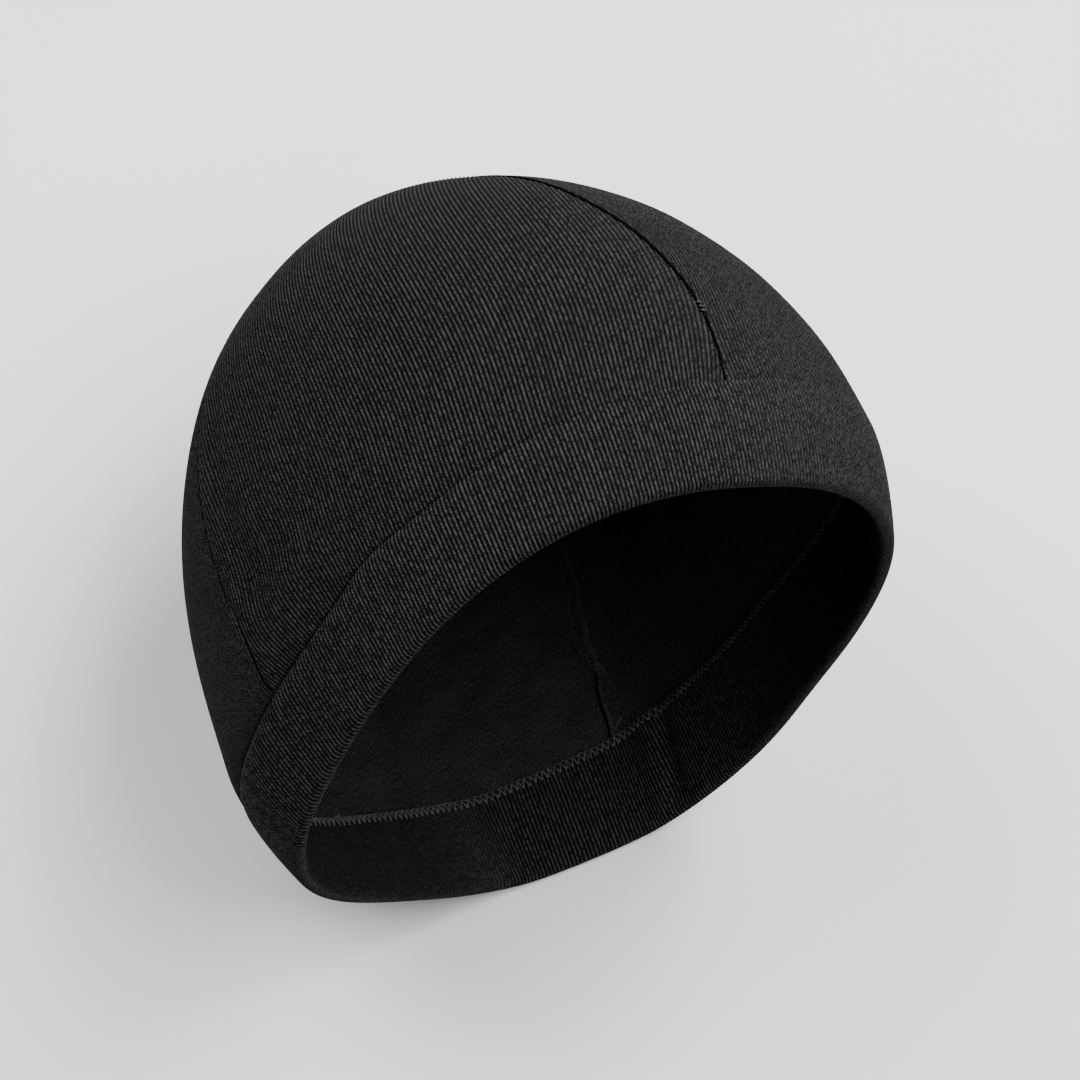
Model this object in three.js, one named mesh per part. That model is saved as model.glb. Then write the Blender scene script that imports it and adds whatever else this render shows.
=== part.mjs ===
// A close-fitting knitted thermal beanie: three sewn crown panels on a folded double hem.
// It lies on its side on a flat surface, its opening towards -Y and its crown towards +Y.
// Millimetres, +Z up. The origin is under the middle of the beanie, on the surface it lies on.
//
// The cap is worked out upright first: an azimuth around its axis and a height above its rim
// give a point of its outer face. That point is then turned to lie on its side, and the cloth
// that would reach below the surface is flattened onto it.

import * as THREE from 'three';

// Size of the worn cap, upright
const HALF_LENGTH = 99.4; // half of the oval, forehead to nape
const HALF_WIDTH = 81.5; // half of the oval, ear to ear
const HEIGHT = 159; // rim to crown
const WIDEST_HEIGHT = 28.9; // the wall draws in below this and domes over above it
const OVAL_POWER_RIM = 2.52; // 2 is an ellipse, more is squarer
const OVAL_POWER_TOP = 2.23;
const DOME_POWER_OUT = 1.83;
const DRAW_IN_POWER = 1.6;
const LEAN = { x: 6.6, y: 3.5, power: 2.1 }; // how far the crown sits off the rim's middle

// Cloth
const CLOTH = 2.0; // one layer of the knit
const HEM_THICKNESS = 3.9; // two layers pressed together
const GAP = 0.3; // between neighbouring pieces
const SEAM_DIP = 0.9; // how far the outer face sinks at a seam
const SEAM_DIP_WIDTH = 1.5;
const RIDGE_HEIGHT = 1.6; // seam allowance standing up inside
const RIDGE_WIDTH = 1.3; // on each side of the seam
const RIDGE_RUNOUT = 3; // height over which the allowance rises from under the hem

// What changes around the cap: mean + cos1 cos a + sin1 sin a + cos2 cos 2a + sin2 sin 2a
const AROUND = {
  rimHeight: { mean: 0, cos1: -6.2, sin1: -3.3, cos2: 1.8, sin2: -2.2 },
  rimDrawIn: { mean: 0.049, cos1: -0.017, sin1: 0.036, cos2: 0.003, sin2: 0.036 },
  domePowerUp: { mean: 2.33, cos1: 0.08, sin1: 0.04, cos2: 0, sin2: 0 },
  hemStitchHeight: { mean: 27.2, cos1: -2.3, sin1: -3.3, cos2: 0, sin2: 0 },
  hemEdgeHeight: { mean: 29.1, cos1: -2.0, sin1: -2.4, cos2: 0, sin2: 0 },
};
const LOBES = { cos3: -0.011, sin3: -0.021 }; // the oval is a little fuller on one side

// Seams of the crown, in degrees around the axis: azimuth at the hem, and how far the seam
// bows and sways on its way to the crown
const SEAMS = [
  { name: 'left', azimuth: 80.9, bow: -5.9, sway: 3.3 },
  { name: 'right', azimuth: 178.3, bow: 1.9, sway: 2.6 },
  { name: 'far', azimuth: 316.8, bow: -7.9, sway: 6.1 },
];

// Panels of the crown, each between two seams
const PANELS = [
  { name: 'crown_panel_front', from: 'left', to: 'right', columns: 20 },
  { name: 'crown_panel_right', from: 'right', to: 'far', columns: 28 },
  { name: 'crown_panel_left', from: 'far', to: 'left', columns: 25 },
];

// How the cap lies: turned about its own axis, tipped over, and flattened where it rests
const LIE = { upAzimuth: 146, tip: 9.1, flatDepth: 9, flatSoftness: 3 };

// Facets
const PANEL_ROWS = 19;
const HEM_LEVEL = 28; // height of the hem stitch, near enough to measure the panels' widths at
const FOLD_STEPS = 6;
const HEM_ROWS = [0, 0.9, 2.2]; // first rows of a panel, above the hem stitch
const SEAM_COLUMNS = [GAP / 2, RIDGE_WIDTH, 2.4]; // first columns of a panel, from its seam
const TIP_RADIUS = 0.18; // each panel's point stops this far from the crown's middle
const PROBE_HEIGHT = 0.02; // steps for the slope of the face, in mm and radians
const PROBE_TURN = 0.002;

const radians = THREE.MathUtils.degToRad;

// The value of one row of AROUND at an azimuth.
function around(row, azimuth) {
  return row.mean + row.cos1 * Math.cos(azimuth) + row.sin1 * Math.sin(azimuth)
    + row.cos2 * Math.cos(2 * azimuth) + row.sin2 * Math.sin(2 * azimuth);
}

// Half width of the oval section at an azimuth: a superellipse with three shallow lobes.
function ovalRadius(azimuth, height) {
  const power = OVAL_POWER_RIM + (OVAL_POWER_TOP - OVAL_POWER_RIM) * height / HEIGHT;
  const long = Math.abs(Math.cos(azimuth) / HALF_LENGTH) ** power;
  const wide = Math.abs(Math.sin(azimuth) / HALF_WIDTH) ** power;
  const lobes = 1 + LOBES.cos3 * Math.cos(3 * azimuth) + LOBES.sin3 * Math.sin(3 * azimuth);
  return lobes * (long + wide) ** (-1 / power);
}

// How much of the oval's radius is left at a height: drawn in at the rim, domed above.
function profile(azimuth, height) {
  if (height < WIDEST_HEIGHT) {
    const below = (WIDEST_HEIGHT - height) / WIDEST_HEIGHT;
    return 1 - around(AROUND.rimDrawIn, azimuth) * below ** DRAW_IN_POWER;
  }
  const above = Math.min((height - WIDEST_HEIGHT) / (HEIGHT - WIDEST_HEIGHT), 1);
  return (1 - above ** around(AROUND.domePowerUp, azimuth)) ** (1 / DOME_POWER_OUT);
}

// A point of the outer face of the upright cap.
function uprightPoint(azimuth, height) {
  const radius = ovalRadius(azimuth, height) * profile(azimuth, height);
  const share = height / HEIGHT;
  const lean = Math.max(share, 0) ** LEAN.power;
  return new THREE.Vector3(
    radius * Math.cos(azimuth) + LEAN.x * lean,
    radius * Math.sin(azimuth) + LEAN.y * lean,
    height + around(AROUND.rimHeight, azimuth) * (1 - share) ** 2,
  );
}

// The turn that lays the cap on its side: LIE.upAzimuth ends up on top, the rim towards -Y.
const turnToLie = new THREE.Matrix4()
  .makeRotationX(radians(-90 - LIE.tip))
  .multiply(new THREE.Matrix4().makeRotationZ(radians(-90 - LIE.upAzimuth)));

function lyingPoint(azimuth, height) {
  return uprightPoint(azimuth, height).applyMatrix4(turnToLie);
}

// The lowest point of the cap before it is flattened.
function lowestPoint() {
  let lowest = Infinity;
  for (let degree = 0; degree < 360; degree += 1) {
    for (let height = 0; height < HEIGHT; height += 1) {
      lowest = Math.min(lowest, lyingPoint(radians(degree), height).z);
    }
  }
  return lowest;
}

const surfaceLevel = lowestPoint() + LIE.flatDepth;

// Height over the surface after flattening: zero well below it, unchanged well above it, and a
// parabola between the two.
function settled(z) {
  const soft = LIE.flatSoftness;
  if (z <= -soft) return 0;
  if (z >= soft) return z;
  return (z + soft) ** 2 / (4 * soft);
}

// A point of the outer face of the lying cap.
function skin(azimuth, height) {
  const point = lyingPoint(azimuth, height);
  point.z = settled(point.z - surfaceLevel);
  return point;
}

// The direction that points out of the cloth, from the slope of the outer face.
function outward(azimuth, height) {
  const along = skin(azimuth + PROBE_TURN, height).sub(skin(azimuth - PROBE_TURN, height));
  const top = Math.min(height + PROBE_HEIGHT, HEIGHT);
  const up = skin(azimuth, top).sub(skin(azimuth, top - 2 * PROBE_HEIGHT));
  return along.cross(up).normalize();
}

// A point at a depth under the outer face.
function inCloth(azimuth, height, depth) {
  return skin(azimuth, height).addScaledVector(outward(azimuth, height), -depth);
}

const hemStitch = (azimuth) => around(AROUND.hemStitchHeight, azimuth);
const hemEdge = (azimuth) => around(AROUND.hemEdgeHeight, azimuth);
const smooth = (t) => THREE.MathUtils.smoothstep(t, 0, 1);

// Azimuth of a seam at a height.
function seamAzimuth(name, height) {
  const seam = SEAMS.find((row) => row.name === name);
  const start = hemStitch(radians(seam.azimuth));
  const u = (height - start) / (HEIGHT - start);
  const bend = seam.bow * 4 * u * (1 - u) + seam.sway * 10 * u * (1 - u) * (0.5 - u);
  return radians(seam.azimuth + bend);
}

// A closed body from rows of points: faces join neighbouring rows and neighbouring columns.
class Body {
  constructor() {
    this.positions = [];
    this.indices = [];
  }

  point(vector) {
    this.positions.push(vector.x, vector.y, vector.z);
    return this.positions.length / 3 - 1;
  }

  triangle(a, b, c) {
    this.indices.push(a, b, c);
  }

  quad(a, b, c, d) {
    this.triangle(a, b, c);
    this.triangle(a, c, d);
  }

  geometry() {
    const geometry = new THREE.BufferGeometry();
    geometry.setAttribute('position', new THREE.Float32BufferAttribute(this.positions, 3));
    geometry.setIndex(this.indices);
    geometry.computeVertexNormals();
    return geometry;
  }
}

// Places of a panel's columns as shares of its width: close together beside the two seams, closer
// still where the panel is narrow, and evenly spaced between.
function columnShares(width, columns) {
  const [edge, ...beside] = SEAM_COLUMNS;
  const widest = beside[beside.length - 1];
  const tight = Math.min(1, width / (4 * widest));
  const first = [edge, ...beside.map((distance) => distance * tight)].map((distance) => distance / width);
  const inset = first[first.length - 1];
  const spaces = columns - 2 * first.length + 1;
  const between = Array.from({ length: spaces - 1 }, (_, i) => inset + (1 - 2 * inset) * (i + 1) / spaces);
  return [...first, ...between, ...first.map((share) => 1 - share).reverse()];
}

// The azimuths of a panel's two seams at a height, the second one past the first.
function panelEdges({ from, to }, height) {
  const start = seamAzimuth(from, height);
  const end = seamAzimuth(to, height);
  return [start, end > start ? end : end + 2 * Math.PI];
}

// The width of a panel at a height.
function panelWidth(panel, height) {
  const [start, end] = panelEdges(panel, height);
  const middle = (start + end) / 2;
  return (end - start) * ovalRadius(middle, height) * profile(middle, height);
}

// One crown panel: a cloth shell between two seams, from the hem stitch to a point at the top.
// Its outer face dips at its edges, and its seam allowances thicken it inwards.
function crownPanel(panel) {
  const body = new Body();
  const edges = (height) => panelEdges(panel, height);
  const { columns } = panel;
  const climbRows = PANEL_ROWS - HEM_ROWS.length + 1;
  const outer = [];
  const inner = [];
  for (let row = 0; row < PANEL_ROWS; row += 1) {
    const climb = Math.max(row - HEM_ROWS.length + 1, 0) / climbRows;
    const share = Math.sin(climb * Math.PI / 2);
    const rise = HEM_ROWS[Math.min(row, HEM_ROWS.length - 1)];
    const level = HEM_LEVEL + (HEIGHT - HEM_LEVEL) * share;
    const width = panelWidth(panel, level);
    const shares = columnShares(width, columns);
    outer.push([]);
    inner.push([]);
    shares.forEach((across) => {
      const [roughStart, roughEnd] = edges(level);
      const rough = roughStart + (roughEnd - roughStart) * across;
      const foot = hemStitch(rough) + GAP / 2 + rise;
      const height = foot + (HEIGHT - foot) * share;
      const [start, end] = edges(height);
      const azimuth = start + (end - start) * across;
      const toSeam = Math.min(across, 1 - across) * width;
      const toHem = height - hemStitch(azimuth);
      const dip = SEAM_DIP * Math.exp(-((toSeam / SEAM_DIP_WIDTH) ** 2));
      const hemDip = SEAM_DIP * Math.exp(-((toHem / SEAM_DIP_WIDTH) ** 2));
      const ridgeRise = smooth((height - hemEdge(azimuth) - GAP) / RIDGE_RUNOUT);
      const ridge = toSeam > RIDGE_WIDTH * 1.01 ? 0 : RIDGE_HEIGHT * ridgeRise;
      outer[row].push(body.point(inCloth(azimuth, height, Math.max(dip, hemDip))));
      inner[row].push(body.point(inCloth(azimuth, height, CLOTH + ridge)));
    });
  }
  const last = PANEL_ROWS - 1;
  const end = columns - 1;
  for (let row = 0; row < last; row += 1) {
    for (let column = 0; column < end; column += 1) {
      const next = column + 1;
      body.quad(outer[row][column], outer[row][next], outer[row + 1][next], outer[row + 1][column]);
      body.quad(inner[row][column], inner[row + 1][column], inner[row + 1][next], inner[row][next]);
    }
    body.quad(outer[row][0], outer[row + 1][0], inner[row + 1][0], inner[row][0]);
    body.quad(outer[row][end], inner[row][end], inner[row + 1][end], outer[row + 1][end]);
  }
  const [start, stop] = edges(HEIGHT);
  const bisector = (start + stop) / 2;
  const apex = skin(0, HEIGHT);
  const axis = new THREE.Vector3(0, 0, 1).transformDirection(turnToLie);
  const sideways = new THREE.Vector3(Math.cos(bisector), Math.sin(bisector), 0)
    .transformDirection(turnToLie);
  const tip = apex.clone().addScaledVector(sideways, TIP_RADIUS).addScaledVector(axis, -SEAM_DIP);
  const outerTip = body.point(tip);
  const innerTip = body.point(tip.clone().addScaledVector(axis, SEAM_DIP - CLOTH - RIDGE_HEIGHT));
  for (let column = 0; column < end; column += 1) {
    body.quad(outer[0][column], inner[0][column], inner[0][column + 1], outer[0][column + 1]);
    body.triangle(outer[last][column], outer[last][column + 1], outerTip);
    body.triangle(inner[last][column + 1], inner[last][column], innerTip);
  }
  body.quad(outer[last][0], outerTip, innerTip, inner[last][0]);
  body.quad(outer[last][end], inner[last][end], innerTip, outerTip);
  return body.geometry();
}

// The outline of the hem across its thickness, as depths under the outer face and heights:
// up the inside, over its sewn edge, down onto the shelf that the crown panels stand on, down
// the outside and round the fold at the rim.
function hemOutline(azimuth) {
  const stitch = hemStitch(azimuth) - GAP / 2;
  const edge = hemEdge(azimuth);
  const shelf = CLOTH + GAP;
  const round = HEM_THICKNESS / 2;
  const outline = [
    { depth: HEM_THICKNESS, height: 7 },
    { depth: HEM_THICKNESS, height: 16 },
    { depth: HEM_THICKNESS, height: edge - 1 },
    { depth: HEM_THICKNESS - 0.5, height: edge },
    { depth: shelf, height: edge },
    { depth: shelf, height: stitch },
    { depth: SEAM_DIP, height: stitch },
    { depth: 0.3, height: stitch - 1.2 },
    { depth: 0, height: stitch - 3 },
    { depth: 0, height: 16 },
    { depth: 0, height: 7 },
  ];
  for (let step = 0; step <= FOLD_STEPS; step += 1) {
    const angle = Math.PI * step / FOLD_STEPS;
    outline.push({ depth: round - round * Math.cos(angle), height: round - round * Math.sin(angle) });
  }
  return outline;
}

// The azimuths of the hem's outlines: each seam, then the columns of the panel after it, so that
// the facets of the hem and of the panels meet edge to edge.
function hemAzimuths() {
  return PANELS.flatMap((panel) => {
    const [start, end] = panelEdges(panel, HEM_LEVEL);
    const shares = columnShares(panelWidth(panel, HEM_LEVEL), panel.columns);
    return [0, ...shares.slice(1, -1)].map((share) => start + (end - start) * share);
  });
}

// The folded hem: its outline carried once around the cap.
function foldedHem() {
  const body = new Body();
  const rings = hemAzimuths().map((azimuth) => (
    hemOutline(azimuth).map(({ depth, height }) => body.point(inCloth(azimuth, height, depth)))));
  rings.forEach((ring, step) => {
    const next = rings[(step + 1) % rings.length];
    ring.forEach((corner, i) => {
      const j = (i + 1) % ring.length;
      body.quad(corner, ring[j], next[j], next[i]);
    });
  });
  return body.geometry();
}

// Charcoal black knit, matt
function knit(color) {
  return new THREE.MeshStandardMaterial({ color, roughness: 0.95, metalness: 0 });
}

const beanie = new THREE.Group();
PANELS.forEach((panel) => {
  const mesh = new THREE.Mesh(crownPanel(panel), knit(0x222223));
  mesh.name = panel.name;
  beanie.add(mesh);
});
const hem = new THREE.Mesh(foldedHem(), knit(0x252526));
hem.name = 'folded_hem';
beanie.add(hem);

// Bring the middle of the beanie's box over the origin.
const box = new THREE.Box3().setFromObject(beanie);
const middle = box.getCenter(new THREE.Vector3());
beanie.position.set(-middle.x, -middle.y, 0);
beanie.updateMatrixWorld(true);

export default beanie;
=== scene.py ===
"""A knitted thermal beanie lying on its side, its opening towards the camera.

Lengths are in millimetres until a mesh is made. The cap is worked out upright, as it is worn:
a turn is the azimuth round its axis in radians, a height is measured from its rim. That point is
then laid on its side and flattened where it meets the floor.
"""

import bpy  # noqa: E402
import numpy as np  # noqa: E402
from mathutils import Matrix  # noqa: E402


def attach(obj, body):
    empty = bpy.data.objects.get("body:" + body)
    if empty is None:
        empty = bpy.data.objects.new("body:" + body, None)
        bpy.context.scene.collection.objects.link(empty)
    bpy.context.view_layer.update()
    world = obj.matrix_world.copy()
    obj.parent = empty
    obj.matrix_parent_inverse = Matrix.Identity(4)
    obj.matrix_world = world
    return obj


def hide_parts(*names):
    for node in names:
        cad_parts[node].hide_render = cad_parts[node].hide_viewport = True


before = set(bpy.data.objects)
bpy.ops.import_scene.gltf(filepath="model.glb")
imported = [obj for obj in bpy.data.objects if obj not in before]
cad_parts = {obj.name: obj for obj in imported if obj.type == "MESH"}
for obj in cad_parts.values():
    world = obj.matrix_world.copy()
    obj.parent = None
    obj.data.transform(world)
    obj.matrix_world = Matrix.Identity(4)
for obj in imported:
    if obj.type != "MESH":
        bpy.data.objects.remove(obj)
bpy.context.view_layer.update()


# Crown panels. Three gores cut from one double-faced jersey: fine upright wales outside, a
# brushed loop face inside. Each is a cloth shell between two seams, its edges rolled into them.

HALF_LENGTH, HALF_WIDTH, HEIGHT = 99.4, 81.5, 159.0
WIDEST_HEIGHT = 28.9
OVAL_POWER_RIM, OVAL_POWER_TOP = 2.52, 2.23
DOME_POWER_OUT, DRAW_IN_POWER = 1.83, 1.6
LEAN_X, LEAN_Y, LEAN_POWER = 6.6, 3.5, 2.1
LOBE_COS, LOBE_SIN = -0.011, -0.021
CLOTH, THINNEST = 2.0, 0.4

# mean, cos a, sin a, cos 2a, sin 2a
RIM_HEIGHT = (0.0, -6.2, -3.3, 1.8, -2.2)
RIM_DRAW_IN = (0.049, -0.017, 0.036, 0.003, 0.036)
DOME_POWER_UP = (2.33, 0.08, 0.04, 0.0, 0.0)
HEM_STITCH = (27.2, -2.3, -3.3, 0.0, 0.0)
HEM_EDGE = (29.1, -2.0, -2.4, 0.0, 0.0)
# The front is eased in beside the left seam, where the hem stitch rises: azimuth, reach, rise.
EASED_IN, EASE_REACH, EASE_RISE = np.radians(115.0), np.radians(9.0), 1.8

# azimuth at the hem, bow and sway on the way up, in degrees
SEAMS = {"left": (80.9, -5.9, 3.3), "right": (178.3, 1.9, 2.6), "far": (316.8, -7.9, 6.1)}
PANELS = (
    ("crown_panel_front", "left", "right"),
    ("crown_panel_right", "right", "far"),
    ("crown_panel_left", "far", "left"),
)

# How the cap lies: its upper azimuth, the dip of its axis, how deep the floor presses it in and
# how softly that starts, and its middle, which is moved to the origin.
UP_AZIMUTH, TIP = np.radians(146.0), np.radians(9.1)
FLAT_DEPTH, FLAT_SOFTNESS = 9.0, 3.0
MIDDLE = np.array([0.7626, 69.8190, 0.0])

WALE_PITCH, COURSE_PITCH = 1.18, 0.95
WALE_RELIEF, RELAXED_LOSS = 0.22, 0.4
RIB_FROM_STITCH, RIB_FROM_SEAM = (0.0, 0.8), (0.1, 0.9)
STEPS_PER_WALE = 4
ROW_PITCH = 2.3
FIRST_ROWS = np.array([0.0, 0.35, 0.8, 1.4, 2.2])
SEAM_ROLL_DEPTH, SEAM_ROLL_REACH = {"left": 0.75, "right": 1.15, "far": 1.0}, 1.5
SEAM_FOOT_ROLL, SEAM_FOOT_REACH = 0.5, 3.0
HEM_ROLL_REACH = 1.9
HEM_GROOVE, HEM_GROOVE_PULLED = 0.06, 0.69
HEM_DIP, DIP_ABOVE = 1.0, 4.5
# The azimuth where the hem stitch pulls hardest, and how far from it that fades, in degrees.
PULL_AZIMUTH, PULL_FADE = 95.0, (22.0, 78.0)

# Depths of slow waves and ripples and the heights over which they fade, a dell over the hem, and
# a valley beside the left seam (degrees from it and reach, then heights).
WAVE_DEPTH, RIPPLE_DEPTH, DENTS_FADE = 0.28, 0.1, (125.0, HEIGHT - 2)
DELL_DEPTH, DELL_AZIMUTH, DELL_HEIGHT = 1.1, (97.0, 13.0), (50.0, 7.0)
VALLEY_DEPTH, VALLEY_ASIDE, VALLEY_HEIGHTS = 0.8, (8.5, 3.2), (30.0, 45.0, 85.0, 115.0)

# Azimuths between which the knit is stretched: where that starts, is full, fades and ends.
CROWN_STRETCHED = (68.0, 82.0, 168.0, 200.0)
INSIDE_STRETCHED = (262.0, 290.0, 336.0, 360.0)

# How a panel's wales stray from lines parallel to its middle, in wales: factors of 1, x, x2 and x3
# (x goes from -1/2 to 1/2 across), for the first few rows, for the share of the way up and for
# that share squared.
WALE_BEND = {
    "crown_panel_front": ((0.0, 12.7, 3.6, -58.9), (-7.6, -63.9), (9.9, 85.7)),
    "crown_panel_right": ((0.0,), (0.0,), (-35.0, 140.0, -140.0)),
    "crown_panel_left": ((0.0,), (0.0,), (0.0,)),
}
BEND_START = 0.07
# Two more swings beside the left seam: the share of the way up, its reach, and factors of the
# fourth and eighth power of 1/2 - x.
EDGE_BEND = ((0.12, 0.10, 11.3, -8.1), (0.30, 0.12, 6.9, -9.1))


def around(row, turn):
    """A row's mean plus its one and two waves round the cap."""
    mean, cos1, sin1, cos2, sin2 = row
    one = cos1 * np.cos(turn) + sin1 * np.sin(turn)
    return mean + one + cos2 * np.cos(2 * turn) + sin2 * np.sin(2 * turn)


def smooth(value, low, high):
    """0 below low, 1 above high, and an S-curve between."""
    t = np.clip((value - low) / (high - low), 0, 1)
    return t * t * (3 - 2 * t)


def between(value, start, full, fade, end):
    """0 up to the start, 1 from full to fade, 0 from the end on, and S-curves between."""
    return smooth(value, start, full) * (1 - smooth(value, fade, end))


def bell(value, middle, reach):
    """A bell curve that is 1 in its middle."""
    return np.exp(-(((value - middle) / reach) ** 2))


def upright(turn, height):
    """Superellipse with three shallow lobes, drawn in at the rim, domed above, crown leaning."""
    share = height / HEIGHT
    power = OVAL_POWER_RIM + (OVAL_POWER_TOP - OVAL_POWER_RIM) * share
    long = np.abs(np.cos(turn) / HALF_LENGTH) ** power
    wide = np.abs(np.sin(turn) / HALF_WIDTH) ** power
    lobes = 1 + LOBE_COS * np.cos(3 * turn) + LOBE_SIN * np.sin(3 * turn)
    below = np.clip((WIDEST_HEIGHT - height) / WIDEST_HEIGHT, 0, None)
    above = np.clip((height - WIDEST_HEIGHT) / (HEIGHT - WIDEST_HEIGHT), 0, 1)
    drawn = 1 - around(RIM_DRAW_IN, turn) * below**DRAW_IN_POWER
    dome = (1 - above ** around(DOME_POWER_UP, turn)) ** (1 / DOME_POWER_OUT)
    radius = lobes * (long + wide) ** (-1 / power) * drawn * dome
    lean = np.clip(share, 0, None) ** LEAN_POWER
    return np.stack([
        radius * np.cos(turn) + LEAN_X * lean,
        radius * np.sin(turn) + LEAN_Y * lean,
        height + around(RIM_HEIGHT, turn) * (1 - share) ** 2,
    ], -1)


LAY_DOWN = (np.array(Matrix.Rotation(-np.pi / 2 - TIP, 3, "X"))
            @ np.array(Matrix.Rotation(-np.pi / 2 - UP_AZIMUTH, 3, "Z")))
CAP_AXIS = LAY_DOWN @ np.array([0.0, 0.0, 1.0])
every_turn, every_height = np.meshgrid(np.radians(np.arange(360)), np.arange(HEIGHT))
floor_level = (upright(every_turn, every_height) @ LAY_DOWN.T)[..., 2].min() + FLAT_DEPTH


def skin(turn, height):
    """The outer face laid down: its z is 0 well under the floor, unchanged well above it, and a
    parabola between."""
    turn, height = np.broadcast_arrays(turn, height)
    point = upright(turn, height) @ LAY_DOWN.T
    z = point[..., 2] - floor_level
    soft = (np.clip(z, -FLAT_SOFTNESS, FLAT_SOFTNESS) + FLAT_SOFTNESS) ** 2 / (4 * FLAT_SOFTNESS)
    point[..., 2] = np.where(z > FLAT_SOFTNESS, z, soft)
    return point - MIDDLE


def unit(vectors):
    """The vectors at length 1."""
    return vectors / np.linalg.norm(vectors, axis=-1, keepdims=True)


def outward(turn, height):
    """The normal of the outer face, from its slopes both ways; the cap's axis at its top."""
    turn, height = np.broadcast_arrays(turn, height)
    along = skin(turn + 0.002, height) - skin(turn - 0.002, height)
    top = np.minimum(height + 0.02, HEIGHT)
    up = skin(turn, top) - skin(turn, top - 0.04)
    normal = np.cross(along, up)
    return unit(np.where((height > HEIGHT - 0.005)[..., None], CAP_AXIS, normal))


def in_cloth(turn, height, depth):
    """A point at a depth under the outer face."""
    return skin(turn, height) - outward(turn, height) * np.asarray(depth)[..., None]


def stitch_height(turn):
    """Height of the hem stitch, a little more where the front is eased in beside the left seam."""
    return around(HEM_STITCH, turn) + EASE_RISE * bell(turn, EASED_IN, EASE_REACH)


def seam_turn(name, height):
    """A seam's azimuth: its place at the hem, plus a bow and a sway that end at the crown."""
    azimuth, bow, sway = SEAMS[name]
    start = around(HEM_STITCH, np.radians(azimuth))
    u = (height - start) / (HEIGHT - start)
    return np.radians(azimuth + bow * 4 * u * (1 - u) + sway * 10 * u * (1 - u) * (0.5 - u))


def dents(turn, height):
    """Hollows of hand-sewn cloth, always inwards and gone at the top: two crossed waves of unlike
    lengths, a dell over the hem where the front is eased in, and a valley beside the left seam."""
    wave = np.sin(5 * turn + 0.055 * height + 0.6) * np.cos(0.047 * height - 2 * turn)
    ripple = np.sin(11 * turn - 0.11 * height) * np.sin(0.083 * height + 1.7)
    slow = WAVE_DEPTH * (1 + wave) + RIPPLE_DEPTH * (1 + ripple)
    dell = DELL_DEPTH * bell(np.degrees(turn), *DELL_AZIMUTH) * bell(height, *DELL_HEIGHT)
    aside = np.degrees(turn - seam_turn("left", height))
    valley = VALLEY_DEPTH * bell(aside, *VALLEY_ASIDE) * between(height, *VALLEY_HEIGHTS)
    return (slow + dell + valley) * (1 - smooth(height, *DENTS_FADE))


def panel_place(start_seam, end_seam, share, across):
    """Turn and height of a place on a panel: share of the way from the hem stitch to the crown,
    and across from one seam to the next. The two depend on each other, so they are settled in
    a few rounds."""
    height = HEM_STITCH[0] + (HEIGHT - HEM_STITCH[0]) * share
    for _ in range(4):
        start, end = seam_turn(start_seam, height), seam_turn(end_seam, height)
        turn = start + (np.where(end > start, end, end + 2 * np.pi) - start) * across
        foot = stitch_height(turn)
        height = foot + (HEIGHT - foot) * share
    return turn, height


def lengths(points):
    """Running length along the last-but-one axis of rows of points."""
    steps = np.linalg.norm(np.diff(points, axis=-2), axis=-1)
    return np.concatenate([np.zeros_like(steps[..., :1]), np.cumsum(steps, -1)], -1)


# Wales are counted once round the hem stitch, a whole number of them.
stitch_turns = np.linspace(0, 2 * np.pi, 7201)
stitch_run = lengths(skin(stitch_turns, stitch_height(stitch_turns)))
WALES = int(round(stitch_run[-1] / WALE_PITCH))
PITCH = stitch_run[-1] / WALES


def wale_at(turn):
    """Wale count at the hem stitch, from 0 at turn 0; it grows by WALES with every full turn."""
    laps = np.floor(turn / (2 * np.pi))
    return WALES * laps + np.interp(turn - 2 * np.pi * laps, stitch_turns, stitch_run) / PITCH


def pulled(turn):
    """How hard the hem stitch pulls: fully by the left seam, hardly by the right one."""
    from_left = np.abs(np.angle(np.exp(1j * (turn - np.radians(PULL_AZIMUTH)))))
    return 1 - smooth(np.degrees(from_left), *PULL_FADE)


def calm(turn, stretched=CROWN_STRETCHED):
    """Where the cloth lies relaxed and brushed, its wales closed up: all but the forehead, which
    is stretched between those azimuths, and the wall that faces it."""
    azimuth = np.degrees(turn) % 360
    return 1 - np.maximum(between(azimuth, *stretched), between(azimuth, *INSIDE_STRETCHED))


def ribs(wale, turn, relaxed, from_stitch):
    """Relief of the wales: a rounded rib at each whole number, a narrower gap between, flatter in
    relaxed cloth and where the hem stitch pulls."""
    wave = 2 * (0.5 + 0.5 * np.cos(2 * np.pi * wale)) ** 0.8 - 1
    free = smooth(from_stitch, *RIB_FROM_STITCH)
    free = free + (1 - free) * (1 - pulled(turn))
    return WALE_RELIEF * (1 - RELAXED_LOSS * relaxed) * wave * free


def rolled(distance, depth, reach):
    """Depth of cloth that rolls into a seam: a quarter round of that depth and reach."""
    left = 1 - np.clip(distance / reach, 0, 1)
    return depth * (1 - np.sqrt(1 - left**2))


def hem_roll(turn, distance, dip_reach):
    """Depth beside the hem stitch: the roll into its groove and the cloth's slow dip towards it,
    both deeper where the stitch pulls."""
    pull = pulled(turn)
    dip = HEM_DIP * pull * bell(distance, 0.0, dip_reach)
    return rolled(distance, HEM_GROOVE + HEM_GROOVE_PULLED * pull, HEM_ROLL_REACH), dip


def wale_bend(panel, share, across):
    """The wales' straying, in wales where the panel has its full width."""
    x = across - 0.5
    near, rising, squared = (np.polynomial.polynomial.polyval(x, row) for row in WALE_BEND[panel])
    bend = (1 - np.exp(-share / BEND_START)) * near + share * rising + share**2 * squared
    if panel == "crown_panel_front":
        beside = (0.5 - x) ** 4
        for at, reach, fourth, eighth in EDGE_BEND:
            bend = bend + bell(share, at, reach) * beside * (fourth + eighth * beside)
    return bend


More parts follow.
